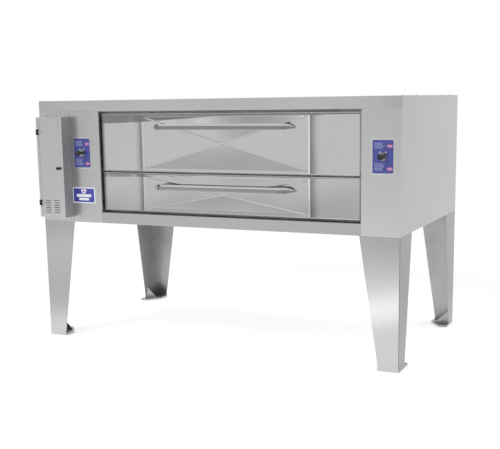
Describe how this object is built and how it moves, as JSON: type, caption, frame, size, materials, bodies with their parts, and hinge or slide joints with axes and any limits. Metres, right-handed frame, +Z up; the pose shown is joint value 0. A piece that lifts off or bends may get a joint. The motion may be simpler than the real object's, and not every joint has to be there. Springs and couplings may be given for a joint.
{
  "type": "single-deck gas pizza oven",
  "caption": "Wide stainless pizza oven on four flared legs, with an upper bake door, a lower burner door, push-pull side dampers and a hinged gas control box.",
  "frame": {"origin": "centre of the whole box, on the floor", "axes": "+Z up, +X to the right seen from the front, the front with the doors faces -Y"},
  "size_m": [1.981, 1.232, 1.27],
  "materials": {
    "stainless_casing": "fine brushed, satin",
    "stainless_door": "fine brushed along the door",
    "handle_steel": "brushed tube",
    "stainless_leg": "satin",
    "zinc_bolt": "zinc plated",
    "frame_paint": "black stove enamel",
    "aluminised_liner": "aluminised, heat-dulled",
    "hearth_stone": "cordierite, matt",
    "mineral_wool": "felted",
    "burner_iron": "black pipe",
    "brass_fitting": "machined",
    "copper_line": "drawn copper tube",
    "control_casting": "die cast",
    "black_knob": "moulded phenolic",
    "red_button": "moulded",
    "box_steel": "satin",
    "black_hinge": "black oxide",
    "plate_steel": "brushed",
    "blue_label": "printed film",
    "badge_enamel": "enamelled plate",
    "bright_bezel": "plated"
  },
  "bodies": {
    "oven": {"back_panel": "stainless_casing", "badge_plate": "badge_enamel", "bake_chamber_liner": "aluminised_liner", "base_frame": "frame_paint", "bottom_pan": "frame_paint", "burner_orifices": "brass_fitting", "burners": "burner_iron", "combustion_liner": "aluminised_liner", "control_box_tray": "box_steel", "control_labels": "blue_label", "control_plates": "plate_steel", "cover_hinges": "black_hinge", "damper_bezels": "bright_bezel", "door_hinge_bearings": "frame_paint", "flue_duct": "aluminised_liner", "front_sill": "stainless_casing", "gas_cock_body": "brass_fitting", "gas_inlet_pipe": "burner_iron", "gas_manifold": "burner_iron", "gas_riser_pipe": "burner_iron", "hearth_rails": "aluminised_liner", "hearth_stones": "hearth_stone", "heat_deflector": "aluminised_liner", "insulation": "mineral_wool", "left_front_panel": "stainless_casing", "left_side_panel": "stainless_casing", "leg_bolts": "zinc_bolt", "leg_front_left": "stainless_leg", "leg_front_right": "stainless_leg", "leg_rear_left": "stainless_leg", "leg_rear_right": "stainless_leg", "mouth_frame": "frame_paint", "pilot_assembly": "copper_line", "right_front_panel": "stainless_casing", "right_side_panel": "stainless_casing", "safety_valve": "control_casting", "thermostat_body": "control_casting", "thermostat_bulb": "copper_line", "top_fascia": "stainless_casing", "top_panel": "stainless_casing"},
    "upper_door": {"upper_door_skin": "stainless_door", "upper_door_liner": "aluminised_liner", "upper_door_insulation": "mineral_wool", "upper_door_handle": "handle_steel", "upper_door_hinge_pins": "zinc_bolt"},
    "lower_door": {"lower_door_skin": "stainless_door", "lower_door_liner": "aluminised_liner", "lower_door_insulation": "mineral_wool", "lower_door_handle": "handle_steel", "lower_door_hinge_pins": "zinc_bolt"},
    "control_cover": {"control_cover": "box_steel"},
    "cover_latch": {"cover_latch": "black_knob"},
    "left_damper": {"left_damper_knob": "black_knob", "left_damper_rod": "bright_bezel"},
    "right_damper": {"right_damper_knob": "black_knob", "right_damper_rod": "bright_bezel"},
    "thermostat_knob": {"thermostat_knob": "black_knob"},
    "reset_button": {"reset_button": "red_button"},
    "gas_cock_lever": {"gas_cock_lever": "brass_fitting"}
  },
  "joints": [
    {"name": "upper_door_hinge", "type": "hinge", "parent": "oven", "child": "upper_door", "pos_m": [0.0935, -0.515, 0.919], "axis": [1, 0, 0], "range_deg": [0, 90]},
    {"name": "lower_door_hinge", "type": "hinge", "parent": "oven", "child": "lower_door", "pos_m": [0.0935, -0.515, 0.714], "axis": [1, 0, 0], "range_deg": [0, 90]},
    {"name": "control_cover_hinge", "type": "hinge", "parent": "oven", "child": "control_cover", "pos_m": [-0.951, -0.6114, 0.925], "axis": [0, 0, -1], "range_deg": [0, 110]},
    {"name": "cover_latch_turn", "type": "hinge", "parent": "control_cover", "child": "cover_latch", "pos_m": [-0.827, -0.608, 0.922], "axis": [0, 1, 0], "range_deg": [0, 90]},
    {"name": "left_damper_slide", "type": "slide", "parent": "oven", "child": "left_damper", "axis": [0, -1, 0], "range_m": [0, 0.05]},
    {"name": "right_damper_slide", "type": "slide", "parent": "oven", "child": "right_damper", "axis": [0, -1, 0], "range_m": [0, 0.05]},
    {"name": "thermostat_knob_turn", "type": "hinge", "parent": "oven", "child": "thermostat_knob", "pos_m": [-0.879, -0.586, 0.985], "axis": [0, 1, 0], "range_deg": [0, 270]},
    {"name": "reset_button_press", "type": "slide", "parent": "oven", "child": "reset_button", "axis": [0, 1, 0], "range_m": [0, 0.006], "stiffness_N_per_m": 400, "springref_m": -0.002},
    {"name": "gas_cock_turn", "type": "hinge", "parent": "oven", "child": "gas_cock_lever", "pos_m": [-0.879, -0.588, 0.772], "axis": [0, 1, 0], "range_deg": [0, 90]}
  ]
}
